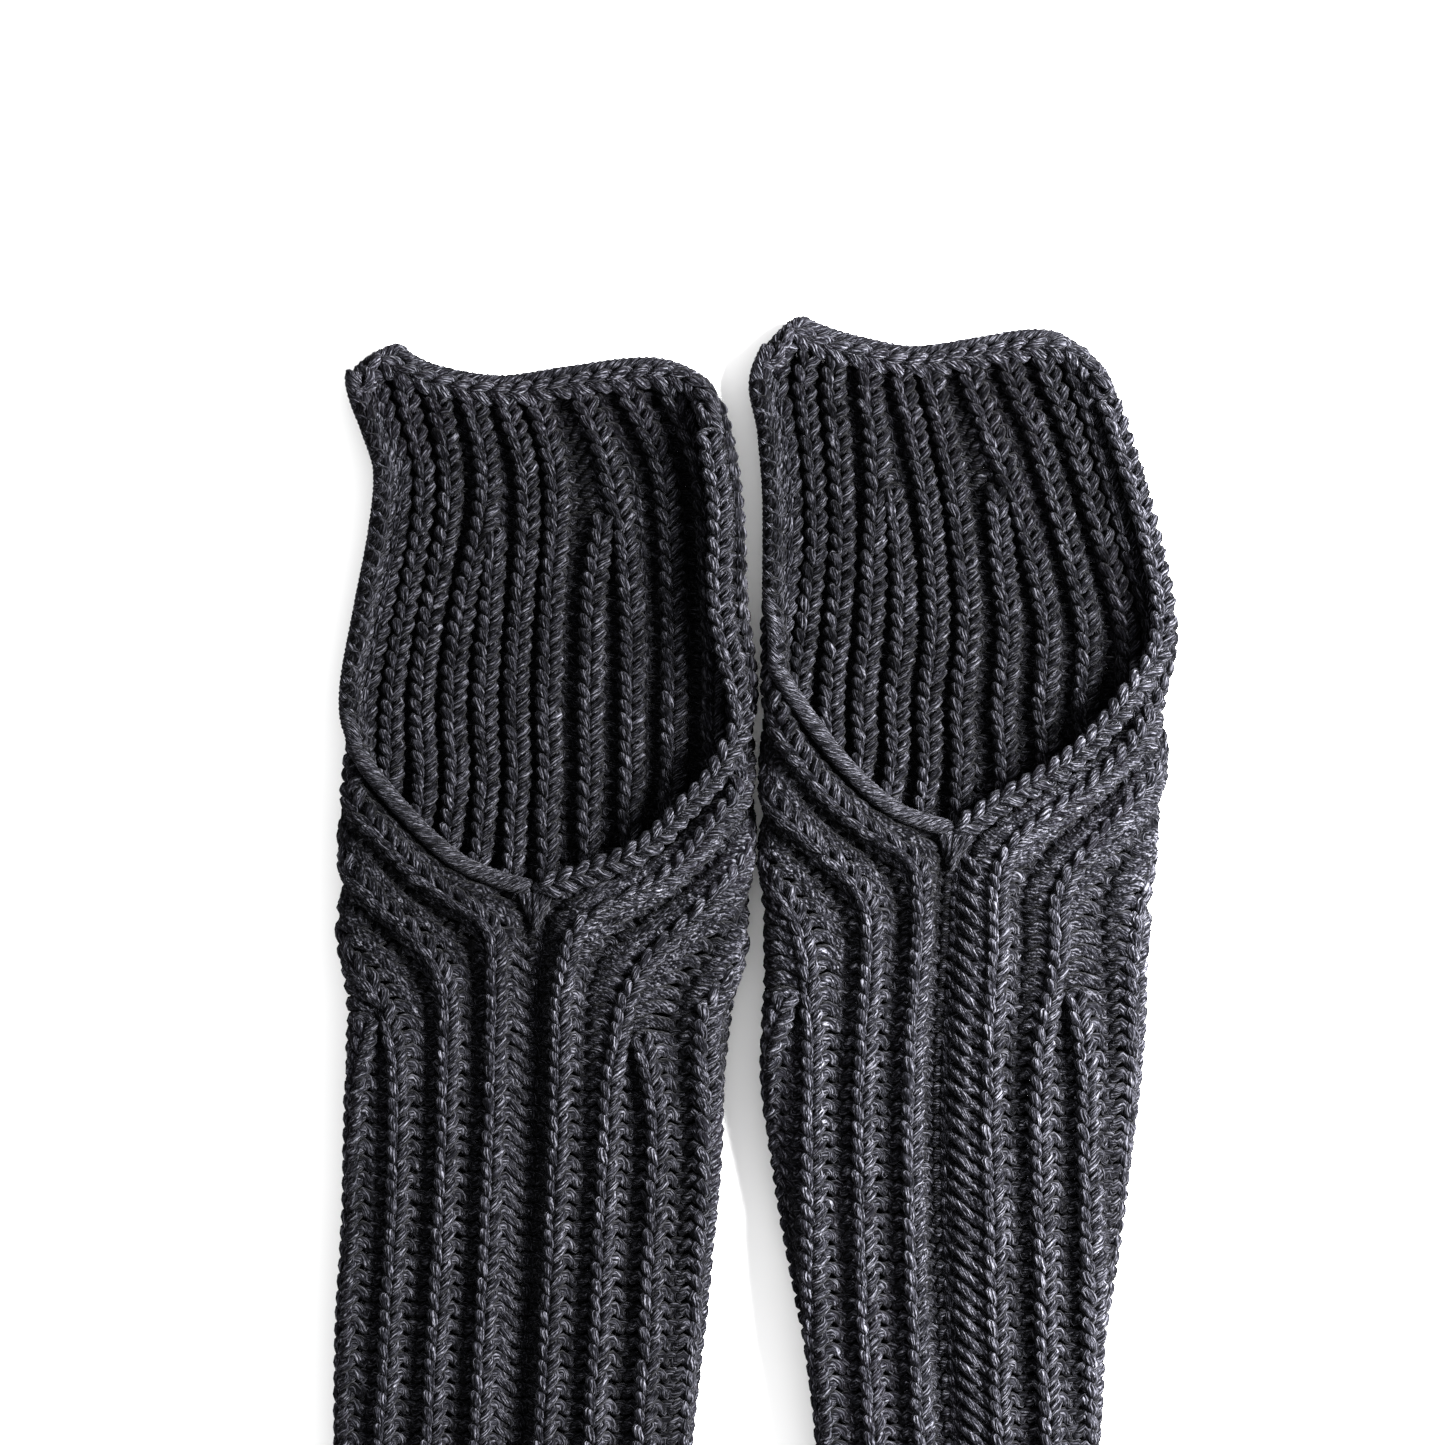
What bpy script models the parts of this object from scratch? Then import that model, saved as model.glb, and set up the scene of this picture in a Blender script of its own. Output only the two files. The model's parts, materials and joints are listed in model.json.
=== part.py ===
"""A pair of hand-knitted fingerless gloves lying side by side, palm openings up.

Each glove is a ribbed tube, seamed up its front, whose front opens in a V above a fold line.
The back carries on past the V as a hand panel, with rolled cords along both slit edges and a
bound-off top edge. +Y runs from the arm hem to the finger edge, +Z is up, and the origin is on
the resting surface under the middle of the pair. Lengths below are in millimetres.
"""

import math

import bmesh
import bpy
from mathutils import Vector

MM = 0.001

FABRIC = 4.8  # thickness of the ribbed fabric
HEIGHT = 20.0  # height of a glove lying flat
FOLD_R = (HEIGHT - FABRIC) / 2  # bend radius of the fabric's middle at each side fold
HALF_TURN = math.pi * FOLD_R
GAP = 0.3  # clearance between neighbouring pieces
EDGE_GAP = 1.4  # the same along the finger edge, whose rows slope
FOLD_GAP = 0.6  # between the sleeve and the hand panel, where the flap folds
SLIT_CORD_R = 1.8
TOP_CORD_R = 1.7
SEAM_YARN_R = 1.2
YARN_END_R = 1.2
YARN_END_LENGTH = 3.6
CHAIN_WIDTH = 5.0  # width of the bound-off chain, along the glove
HEM_WIDTH = 7.0
MEETING_LENGTH = 2.5  # the two cords run straight towards each other at the foot of the slit
SLIT_CLEARANCE = 0.25  # the cord's facets stand off a little more where the edge curves

# Below the finger edge, in order: the top cord, the bound-off chain and the hand panel.
CHAIN_TOP = 2 * TOP_CORD_R + EDGE_GAP
CHAIN_LOW = CHAIN_TOP + CHAIN_WIDTH
PANEL_TOP = CHAIN_LOW + EDGE_GAP

BOTTOM_STEPS = 4  # columns of faces from the back centre to a side fold
FOLD_STEPS = 7  # round the side fold
FRONT_STEPS = 3  # from the fold to the slit or the seam
MOST_FOLD_SHARE = 0.85  # how much of a narrow flap's side the fold's columns may take
SLEEVE_STEPS = 6  # rows of faces along the sleeve
SEAM_STEPS = 8

# Rows of the hand panel, as shares of the way from the foot of the slit to the chain:
# close together where the slit opens, then even, then wide.
OPENING_ROWS = [0.0, 0.02, 0.045, 0.075, 0.11]
SLIT_ROWS = [0.15 + 0.05 * i for i in range(8)]
FINGER_ROWS = [0.6, 0.73, 0.87, 1.0]

CHARCOAL = (0.024, 0.024, 0.029)
CHARCOAL_LIGHT = (0.042, 0.042, 0.048)
WOOL_ROUGHNESS = 0.92

# Every outline is (place along Y, value). left and right are the outer edges seen from above,
# front is the seam line, and slit gives how far the fabric runs on past the flat underside.
LEFT_GLOVE = {
    "name": "left_glove",
    "hem_y": -176.3,
    "fold_y": 20.0,
    "notch_y": 23.1,
    "left": [(-176.3, -109.5), (-93.0, -110.4), (-31.0, -108.3), (8.0, -108.7), (35.0, -109.8),
             (78.0, -110.1), (101.0, -107.0), (136.0, -101.9), (156.0, -108.6), (176.3, -106.0)],
    "right": [(-176.3, -23.1), (-114.0, -17.0), (-72.0, -11.7), (-31.0, -6.5), (8.0, -3.2),
              (28.0, -1.1), (90.0, -1.0), (125.0, -2.9), (146.0, -6.0), (160.0, -11.0)],
    "front": [(-176.3, -66.3), (-110.0, -62.0), (-30.0, -58.5), (30.0, -57.7)],
    "slit_left": [(25.9, 55.8), (31.0, 44.6), (40.8, 33.3), (52.6, 22.8), (62.0, 16.0),
                  (68.0, 9.5), (100.0, 7.0), (170.0, 7.0)],
    "slit_right": [(25.9, 60.7), (29.6, 52.4), (33.4, 41.9), (38.0, 36.2), (44.0, 30.4),
                   (54.0, 20.5), (68.0, 14.0), (112.0, 15.0), (170.0, 15.0)],
    "top": [(-1.0, 164.0), (-0.85, 168.6), (-0.55, 163.0), (0.0, 159.8), (0.5, 164.0),
            (0.72, 163.5), (1.0, 154.0)],
    "yarn_end_x": -93.6,
}
RIGHT_GLOVE = {
    "name": "right_glove",
    "hem_y": -165.9,
    "fold_y": 35.0,
    "notch_y": 38.2,
    "left": [(-165.9, 19.0), (-114.0, 14.0), (-82.0, 9.0), (-51.5, 4.2), (-25.0, 0.6),
             (0.0, -0.6), (125.0, -0.6), (146.0, -2.0), (160.0, -3.9), (176.3, 4.0)],
    "right": [(-165.9, 84.8), (-93.0, 90.7), (-51.5, 95.9), (-5.0, 101.4), (27.0, 102.5),
              (52.0, 105.2), (96.0, 110.5), (125.0, 105.0), (146.0, 98.8), (170.0, 89.0)],
    "front": [(-165.9, 51.9), (-90.0, 47.5), (-30.0, 46.0), (20.0, 48.5), (43.0, 51.0)],
    "slit_left": [(39.4, 60.5), (43.4, 49.0), (55.0, 35.3), (68.5, 24.9), (76.0, 19.0),
                  (86.0, 13.0), (94.0, 9.0), (110.0, 7.0), (180.0, 7.0)],
    "slit_right": [(46.5, 58.4), (55.7, 43.6), (61.0, 36.7), (70.5, 29.2), (79.0, 21.0),
                   (88.0, 15.0), (98.0, 10.5), (112.0, 7.5), (180.0, 7.0)],
    "top": [(-1.0, 171.0), (-0.8, 175.4), (-0.6, 171.5), (0.0, 167.6), (0.5, 172.0),
            (0.72, 171.0), (1.0, 160.5)],
    "yarn_end_x": 8.0,
}


def clear_scene():
    for obj in list(bpy.data.objects):
        bpy.data.objects.remove(obj, do_unlink=True)


def value_at(outline, place):
    """A smooth curve through an outline's points, held level past its ends."""
    if place <= outline[0][0]:
        return outline[0][1]
    if place >= outline[-1][0]:
        return outline[-1][1]
    k = max(i for i, point in enumerate(outline[:-1]) if point[0] <= place)
    (x0, y0), (x1, y1) = outline[k], outline[k + 1]

    def slope(i):
        low, high = outline[max(i - 1, 0)], outline[min(i + 1, len(outline) - 1)]
        return (high[1] - low[1]) / (high[0] - low[0])

    span = x1 - x0
    t = (place - x0) / span
    return (
        y0 * (1 + 2 * t) * (1 - t) ** 2
        + y1 * t * t * (3 - 2 * t)
        + span * (slope(k) * t * (1 - t) ** 2 - slope(k + 1) * t * t * (1 - t))
    )


def flat_limit(glove, side, y):
    """X where the flat underside ends and the side fold begins; side is -1 left, 1 right."""
    outer = value_at(glove["left" if side < 0 else "right"], y)
    return outer - side * (FABRIC / 2 + FOLD_R)


def back_centre(glove, y):
    return (flat_limit(glove, -1, y) + flat_limit(glove, 1, y)) / 2


def past_flat(glove, side, y, notch_gap):
    """Fabric length from the flat underside to the seam or the slit edge."""
    front = value_at(glove["front"], y)
    to_seam = HALF_TURN + side * (flat_limit(glove, side, y) - front) - notch_gap
    outline = glove["slit_left" if side < 0 else "slit_right"]
    if y <= glove["notch_y"]:
        return to_seam
    notch = HALF_TURN + side * (
        flat_limit(glove, side, glove["notch_y"]) - value_at(glove["front"], glove["notch_y"])
    )
    return value_at([(glove["notch_y"], notch - notch_gap)] + outline, y)


def surface_point(glove, side, y, length):
    """The middle of the fabric, at a length past the flat underside's end (negative inside it)."""
    x = flat_limit(glove, side, y)
    if length <= 0:
        return Vector((x + side * length, y, FABRIC / 2))
    if length <= HALF_TURN:
        turn = length / FOLD_R
        across = FOLD_R * math.sin(turn)
        return Vector((x + side * across, y, FABRIC / 2 + FOLD_R * (1 - math.cos(turn))))
    return Vector((x - side * (length - HALF_TURN), y, FABRIC / 2 + 2 * FOLD_R))


def column_lengths(flat, past):
    """Where a row's points lie from the back centre outward, denser round the fold."""
    fold = past * min(HALF_TURN / past, MOST_FOLD_SHARE)
    lengths = [-flat * (1 - i / BOTTOM_STEPS) for i in range(BOTTOM_STEPS)]
    lengths += [fold * i / FOLD_STEPS for i in range(FOLD_STEPS)]
    lengths += [fold + (past - fold) * i / FRONT_STEPS for i in range(FRONT_STEPS + 1)]
    return lengths


def fabric_row(glove, y_of, notch_gap):
    """Points from the left slit edge, round under the glove, to the right slit edge."""
    sides = {}
    for side in (-1, 1):
        y_end = y_of(side * 1.0)
        past = past_flat(glove, side, y_end, notch_gap)
        flat = abs(flat_limit(glove, side, y_end) - back_centre(glove, y_end))
        lengths = column_lengths(flat, past)
        total = flat + past
        sides[side] = [
            surface_point(glove, side, y_of(side * (flat + length) / total), length)
            for length in lengths
        ]
    middle = (sides[-1][0] + sides[1][0]) / 2
    return sides[-1][:0:-1] + [middle] + sides[1][1:]


def wool(name, colour):
    made = bpy.data.materials.new(name)
    made.use_nodes = True
    shader = made.node_tree.nodes["Principled BSDF"]
    shader.inputs["Base Color"].default_value = (*colour, 1)
    shader.inputs["Roughness"].default_value = WOOL_ROUGHNESS
    shader.inputs["Metallic"].default_value = 0
    return made


def add_object(name, data, colour):
    obj = bpy.data.objects.new(name, data)
    obj.data.materials.append(wool(name, colour))
    bpy.data.collections["fingerless_gloves"].objects.link(obj)
    return obj


def fabric_wall(name, rows, colour):
    """A thick sheet lofted through the rows."""
    mesh = bmesh.new()
    grid = [[mesh.verts.new(point * MM) for point in row] for row in rows]
    for low, high in zip(grid, grid[1:]):
        for i in range(len(low) - 1):
            mesh.faces.new((low[i], low[i + 1], high[i + 1], high[i]))
    bmesh.ops.recalc_face_normals(mesh, faces=mesh.faces)
    data = bpy.data.meshes.new(name)
    mesh.to_mesh(data)
    mesh.free()
    data.shade_smooth()
    obj = add_object(name, data, colour)
    wall = obj.modifiers.new("fabric thickness", "SOLIDIFY")
    wall.thickness = FABRIC * MM
    wall.offset = 0


def yarn(name, points, radius, colour):
    """A round cord with flat ends."""
    data = bpy.data.curves.new(name, "CURVE")
    data.dimensions = "3D"
    data.bevel_depth = radius * MM
    data.bevel_resolution = 1
    data.use_fill_caps = True
    spline = data.splines.new("POLY")
    spline.points.add(len(points) - 1)
    for target, point in zip(spline.points, points):
        target.co = (*(point * MM), 1)
    add_object(name, data, colour)


def level(y):
    return lambda across: y


def sleeve(glove, colour):
    """The arm tube, open along the seam line for the seam yarn."""
    slot = SEAM_YARN_R + GAP
    start = glove["hem_y"] + HEM_WIDTH + GAP
    end = glove["fold_y"] - FOLD_GAP / 2
    heights = [start + (end - start) * i / SLEEVE_STEPS for i in range(SLEEVE_STEPS + 1)]
    rows = [fabric_row(glove, level(y), slot) for y in heights]
    fabric_wall(glove["name"] + "_sleeve", rows, colour)


def hem(glove, colour):
    """The cast-on band at the arm end."""
    start = glove["hem_y"]
    rows = [fabric_row(glove, level(y), GAP) for y in (start, start + HEM_WIDTH)]
    fabric_wall(glove["name"] + "_cast_on_hem", rows, colour)


def seam(glove, colour):
    """The sewing yarn that closes the front of the sleeve."""
    start = glove["hem_y"] + HEM_WIDTH + GAP
    end = glove["fold_y"] - FOLD_GAP / 2
    points = []
    for i in range(SEAM_STEPS + 1):
        y = start + (end - start) * i / SEAM_STEPS
        points.append(Vector((value_at(glove["front"], y), y, HEIGHT - FABRIC / 2)))
    yarn(glove["name"] + "_front_seam_yarn", points, SEAM_YARN_R, colour)


def top_edge(glove, below):
    """Y of a line that runs a fixed distance below the finger edge."""
    return lambda across: value_at(glove["top"], across) - below


def panel_rows(glove):
    """The hand panel's rows of points, from the fold line to below the chain."""
    notch = glove["notch_y"]
    finish = top_edge(glove, PANEL_TOP)
    heights = [level(glove["fold_y"] + FOLD_GAP / 2)]
    for share in OPENING_ROWS + SLIT_ROWS + FINGER_ROWS:
        heights.append(lambda across, share=share: notch + (finish(across) - notch) * share)
    return [fabric_row(glove, y_of, GAP) for y_of in heights]


def slit_cord(glove, side, rows, colour):
    """The rolled edge, lying just past the panel's cut edge along one side of the slit."""
    ends = [row[0] if side < 0 else row[-1] for row in rows[1:]]
    inner = [row[1] if side < 0 else row[-2] for row in rows[1:]]
    path = []
    for i, (end, before) in enumerate(zip(ends, inner)):
        along = (ends[min(i + 1, len(ends) - 1)] - ends[max(i - 1, 0)]).normalized()
        outward = (end - before).normalized()
        outward = (outward - along * outward.dot(along)).normalized()
        path.append(end + outward * (SLIT_CORD_R + GAP + SLIT_CLEARANCE))
    middle = value_at(glove["front"], glove["notch_y"])
    path = [point for point in path if side * (point.x - middle) > MEETING_LENGTH]
    path.insert(0, Vector((middle + side * GAP, path[0].y, path[0].z)))
    name = "left" if side < 0 else "right"
    yarn(f"{glove['name']}_{name}_slit_cord", path, SLIT_CORD_R, colour)


def chain(glove, colour):
    """The bound-off row across the finger edge."""
    rows = [fabric_row(glove, top_edge(glove, below), GAP) for below in (CHAIN_LOW, CHAIN_TOP)]
    fabric_wall(glove["name"] + "_bind_off_chain", rows, colour)


def yarn_end(glove, cord_points, colour):
    """The fastened-off end of the yarn, a short stub on the finger edge."""
    places = range(len(cord_points) - 1)
    k = min(places, key=lambda i: abs(cord_points[i].x - glove["yarn_end_x"]))
    along = (cord_points[k + 1] - cord_points[k]).normalized()
    outward = Vector((-along.y, along.x, 0)).normalized()
    base = (cord_points[k] + cord_points[k + 1]) / 2
    base += outward * (TOP_CORD_R + GAP + YARN_END_R)
    reach = along * YARN_END_LENGTH / 2
    yarn(glove["name"] + "_yarn_end", [base - reach, base + reach], YARN_END_R, colour)


def build_glove(glove, colour):
    sleeve(glove, colour)
    hem(glove, colour)
    seam(glove, colour)
    rows = panel_rows(glove)
    fabric_wall(glove["name"] + "_hand_panel", rows, colour)
    for side in (-1, 1):
        slit_cord(glove, side, rows, colour)
    chain(glove, colour)
    cord_points = fabric_row(glove, top_edge(glove, TOP_CORD_R), GAP)
    yarn(glove["name"] + "_top_cord", cord_points, TOP_CORD_R, colour)
    yarn_end(glove, cord_points, colour)


def main():
    clear_scene()
    collection = bpy.data.collections.new("fingerless_gloves")
    bpy.context.scene.collection.children.link(collection)
    build_glove(LEFT_GLOVE, CHARCOAL)
    build_glove(RIGHT_GLOVE, CHARCOAL_LIGHT)


main()
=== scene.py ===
"""The looks of a pair of hand-knitted fingerless gloves, yarn by yarn.

Every course of the 1x1 rib is a real strand of yarn: its loops stand proud in the knit wales and
sink in the purl wales. The fabric is first laid out flat, as a distance across from the back
centre and a place along the glove, and then wrapped round the flattened tube.
Lengths are in millimetres until a mesh is made.
"""

import json
import math

import bpy
import numpy as np
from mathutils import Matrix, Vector


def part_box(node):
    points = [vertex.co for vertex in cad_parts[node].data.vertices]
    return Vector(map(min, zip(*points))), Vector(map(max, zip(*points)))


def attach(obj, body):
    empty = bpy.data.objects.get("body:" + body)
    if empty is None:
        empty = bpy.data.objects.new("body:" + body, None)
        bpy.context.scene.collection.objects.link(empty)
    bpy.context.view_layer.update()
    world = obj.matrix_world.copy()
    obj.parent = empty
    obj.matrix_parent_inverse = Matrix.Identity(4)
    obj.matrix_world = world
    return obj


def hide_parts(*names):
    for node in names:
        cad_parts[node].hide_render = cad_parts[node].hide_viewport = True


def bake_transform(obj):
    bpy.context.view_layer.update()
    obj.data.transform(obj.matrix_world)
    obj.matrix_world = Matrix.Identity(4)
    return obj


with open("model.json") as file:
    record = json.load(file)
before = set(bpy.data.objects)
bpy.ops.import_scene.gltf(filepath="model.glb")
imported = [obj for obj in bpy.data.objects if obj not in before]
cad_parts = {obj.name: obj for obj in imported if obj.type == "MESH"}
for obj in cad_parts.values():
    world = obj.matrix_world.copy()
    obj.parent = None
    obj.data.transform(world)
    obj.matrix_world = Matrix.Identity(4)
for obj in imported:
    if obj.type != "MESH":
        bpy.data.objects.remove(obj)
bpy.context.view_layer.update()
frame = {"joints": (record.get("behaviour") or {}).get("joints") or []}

MM = 0.001
SEED = 11

# Yarn and stitches
YARN_SIDES = 8
TWIST_LENGTH = 15.0  # one turn of the yarn's plies
START_RANGE = (0, 50)  # where along its yarn a strand may begin
TIP_LENGTH = 0.55  # how far a strand's closed end reaches, as a share of its radius
TIP_R = 0.02
ROW_SLEEVE = 4.2  # height of a course
ROW_HAND = 3.64
ROW_CHANGE = (-10.0, 30.0)  # from the notch: where one gives way to the other
HAND_ZONE = 30.0  # from the notch: the stitches have become the hand flap's
RIBS = 8  # knit ribs from the back centre to the front edge
LOOP_SLEEVE = 0.92  # width of the loops, as a share of the template's
LOOP_HAND = 1.2
LOOP_ROOM = 1.8  # half the room that an unsqueezed loop needs
LOOP_TURN = (1.6, 3.3)  # from the wale's middle: where the loop ends and the bar begins
LEAST_GAP = 1.5  # between two wales
PURL_DEPTH = 1.0  # purl wales lie this much deeper than the template mirrored
PURL_DEPTH_HAND = 0.3
BAR_ROOM = 5.8  # wider gaps than this have thicker yarn across them
BAR_MOST = 1.3
LOOP_WANDER = 0.07  # how uneven the knitting is
ROW_WANDER = 0.12
WALE_WANDER = 0.1
MOST_TILT = 1.0  # slope of a course across its wales
MOST_LEAN = 1.3  # slope of a wale across its courses
MOST_WIDENING = 2.0
LEAN_SPAN = (-1.0, 3.0)  # above a course's base: the wale's lean is measured over this
SLOPE_STEP = 0.8

# Where the fabric turns on edge the yarn is thicker, and its loops lie flatter
SIDE_SWELL = 0.28
SIDE_FLATNESS = 0.5
SIDE_LIFT = 1.0
SIDE_REACH = 8.0
HAND_SWELL = 0.05  # the hand flap's yarn is a little thicker too

# The flattened tube
BACK_Z = 4.2  # middle of the lower layer above the floor
FRONT_Z = 15.6
FOLD_R = (FRONT_Z - BACK_Z) / 2
HALF_TURN = math.pi * FOLD_R
STAND = 3.7  # yarn outside the fabric's middle surface
HANDOVER = (-3.0, 5.0)  # from the rim's last point: where the free edge takes over
BLEND_REACH = 25.0  # fabric on each side of the fold line that goes in the fold piece
COURSE_BELOW, COURSE_ABOVE = 2.0, 6.0  # how far a course's yarn reaches from its base
GRID = 0.5
GRID_TOP = 200.0
GRID_MARGIN = 30.0

# How the ribs run
WIDTH_PLACE = 30.0  # below the notch: a half's whole width is measured here
STRAIGHT_OFFSET = 35.0  # ribs this near the edge run parallel to it
OFFSET_STEPS = 41
EDGE_WALE = 0.35  # the outermost wale's place in the plain strip beside the edge
ROUNDING = 1.5  # of a rib's corners, and its growth with distance from the edge
ROUNDING_GROWTH = 0.28
FRONT_WALES = 5  # wales beside the edge that keep their spacing when others merge
MERGE_FROM, MERGE_TO = -16.0, 9.0  # two ribs run together over this, from the eyelet
MERGED = 0.45  # they are one when their spacing has shrunk to this
RELAX_LENGTH = 50.0  # and the ribs beside them spread over this
RELAX_SHARE = 0.75
CROWD = 0.5  # how far the ribs beside the slit draw together, all told
CROWD_START = {-1: 0.0, 1: -22.0}  # from the notch: where that begins
CROWD_END = 55.0
ARM_STRIP = {-1: 8.8, 1: 12.0}  # from the slit's left and right edge to the first rib
STRIP_CHANGE = (-28.0, 4.0)  # from the notch: where the seam's strip becomes the slit's
SINK = 14.0  # how far courses sink beside the slit, and where from the notch
SINK_FROM, SINK_FULL, SINK_END = -55.0, 38.0, 140.0
SINK_SHARE = (0.3, 0.85)  # and where on the way from the back centre to the edge
LIFT_LENGTH = 60.0  # below the finger edge: courses start to follow its line

# Hollows
GROOVE_WIDTH = 4.2  # along the front seam
GROOVE_DEPTH = 4.2
GROOVE_END = 12.0  # below the notch: the groove fades out
GAP_PLACE = (3.9, 5.4)  # from the slit's left and right edge: the dark gap before the first rib
GAP_WIDTH = 2.0
GAP_DEPTH = 3.0
ARM_START = (-4.0, 6.0)  # from the notch: where that gap begins
ARM_TOP = 62.0  # it ends above this, and the slit's right edge turns upright
GAP_FADE = 15.0
EYELET = (1.7, 2.4)  # half the size of the eyelet where two ribs run together, across and up
EYELET_DEPTH = 2.4

# Edges
SLIT_START = 0.4  # above the notch
SLIT_OUT = 0.2  # the edges' yarn lies this far in from the fabric's edge, and out of it
STEP = 0.5  # between a line's points
EDGE_POINTS = 260  # round the finger edge
HEM_POINTS = 300
ROPE_STEP = 0.8
ROPE_TIGHTNESS = 0.86  # plies press into each other where this is under 1
ROLL_PLIES = 7
ROLL_PLY = 0.8  # radius of a ply
ROLL_PITCH = 10.0
TURN_LENGTH = 20.0  # the right edge turns upright over this
TURN_SHIFT = 2.2  # and moves inwards by this
TURN_SHARE = 0.7
EDGE_LINK = 4.3
EDGE_WIDTH, EDGE_DEPTH = 1.15, 1.0
LINK_WANDER = 0.08
LINK_SWELL = 1.04
HEM_PLACE = 2.6  # above the tube's end
HEM_PLIES = 3
HEM_PLY = 1.28
HEM_PITCH = 11.0
FIRST_COURSE = 2.7
FINGER_CORD = 2.0  # below the finger edge
FINGER_PLIES = 4
FINGER_PLY = 0.85
FINGER_PITCH = 8.0
FINGER_TAIL = 8.0  # the finger edge's cord turns this far down the slit's edges
FINGER_INSET = 1.0  # and lies this far in from them
CORNER = 1.2  # rounding of the turn
CHAIN_LINE = 5.7  # below the finger edge, and out of the fabric
CHAIN_OUT = -0.9
CHAIN_LINK = 4.9
CHAIN_WIDTH, CHAIN_DEPTH = 1.05, 1.0
CHAIN_ROOM = 9.6  # from the finger edge to the foot of the last course
BAND_HEIGHT = 2.0  # the slit's edges stop this far below the finger edge

# The front seam's slanted strands, and the fan at the foot of the slit
SEAM_R = 1.15
SEAM_INSET = 3.4  # the strands are shorter than the plain strip by this
SEAM_END = 0.4  # before the fabric's edge
SEAM_FROM, SEAM_TO = 6.0, -12.0  # from the hem and from the notch
SEAM_SLANT = 0.85
SEAM_BOW = 0.3
SEAM_LIFT = (0.3, 1.0)  # how high a strand stands out of the fabric
SEAM_HUMP = 1.4
SEAM_DIVE = 1.6  # how deep it ends in the seam
# Painted shade: the strands beside the groove are darker, the left glove's most, like its shade
SEAM_PAINTED_SHADE = {-1: -2.5, 1: -0.5}
FAN_COUNT = 5
FAN_R = 1.0
FAN_TOP = 1.0  # below the notch
FAN_LENGTH, FAN_SHORTER = 9.0, 3.0
FAN_SPREAD, FAN_NARROWING = 3.6, 2.2
FAN_HEIGHT, FAN_DROP, FAN_CROWN = 1.2, 3.0, 0.5
# painted shade: the fan's strands are darker, like the shaded yarn round them
FAN_PAINTED_SHADE = -2.0

# The yarn's end, a low arc about the middle of its solid
STUB_R = 1.25
STUB_REACH = 2.2
STUB_BACK = 5.0  # from the middle towards the fabric
STUB_ARC = 2.4
STUB_RISE = 1.2
STRAND_POINTS = 9

# One half of a knit loop, from the yarn between two wales to the loop's head:
# (across from the wale's middle, up, out of the fabric, yarn radius).
# The first point is half way to the next wale, whatever the distance.
HALF_LOOP = np.array([
    (3.30, 0.60, 0.00, 1.34), (2.45, -0.15, 0.20, 1.36), (1.60, -1.10, 0.50, 1.32),
    (0.90, -1.65, 0.50, 1.22), (0.45, -1.00, 0.80, 1.10), (0.28, 0.15, 1.75, 1.15),
    (0.74, 1.25, 2.50, 1.28), (1.42, 2.35, 2.65, 1.33), (2.08, 3.40, 2.30, 1.26),
    (1.90, 4.40, 1.00, 1.12), (0.60, 4.95, 0.30, 1.05),
])

# Heather wool across its fibre noise: (noise, grey, blue over grey)
HEATHER = [(0.36, 0.0007, 1.3), (0.45, 0.0021, 1.3), (0.54, 0.0064, 1.25), (0.63, 0.0235, 1.2),
           (0.77, 0.0730, 1.15)]

FIBRE_STRETCH = (0.13, 1.0, 1.0)  # along the yarn, and round it
FIBRE_SCALE = 3.3
FIBRE_DETAIL = 1.5
FIBRE_ROUGHNESS = 0.5
FIBRE_RELIEF = 0.0008
# Painted light: the right glove's wool is the left's, painted 1.3 times as bright for the light on
# it
LEFT_BRIGHTNESS, RIGHT_PAINTED_LIGHT = 1.0, 1.3

# Tone runs from dark to pale, and holds painted shade: yarn deep in the fabric is painted darker
# than the crowns of the ribs, like the shade in its hollows, and the hand flaps, the left arm of
# the slit and the eyelets are painted darker, where shade falls.
TONE_RANGE = (-7.0, 3.0)
TONE_SHADE = (0.20, 1.34)
# Painted shade and light: a strand's skin deep in the fabric is painted darker, proud of it paler
DEEP, PROUD = -1.5, 3.6  # height of a strand's skin out of the fabric, where the tone levels out
DEEP_PAINTED_SHADE, PROUD_PAINTED_LIGHT = -5.2, 1.0
# Painted shade: the front layer left of the slit is painted darker, fading in below the notch
LEFT_ARM_PAINTED_SHADE = -3.8
LEFT_ARM_LENGTH = 50.0
FLAP_ZONE = (-10.0, 25.0)  # from the notch: the back layer takes the flap's painted shade
FRONT_SHARE = 0.25  # of the turn round the tube's side: the front layer's painted shade begins
# painted shade inside the eyelets, whose pits are also sunk into the fabric
EYELET_PAINTED_SHADE = -6.0

# Floor, light and camera, in metres and watts
FLOOR_SIZE = 4.0
FLOOR_COLOUR = (0.95, 0.95, 0.95, 1)
SKY_STRENGTH = 1.45
KEY_PLACE, KEY_TARGET = (0.58, 0.16, 0.46), (0.05, -0.05, 0)
KEY_SIZE = 0.4
KEY_POWER = 112
CAMERA_PLACE = (-0.0095, 0.0701, 0.897)
CAMERA_LENS = 85
CAMERA_SENSOR = 36

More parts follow.
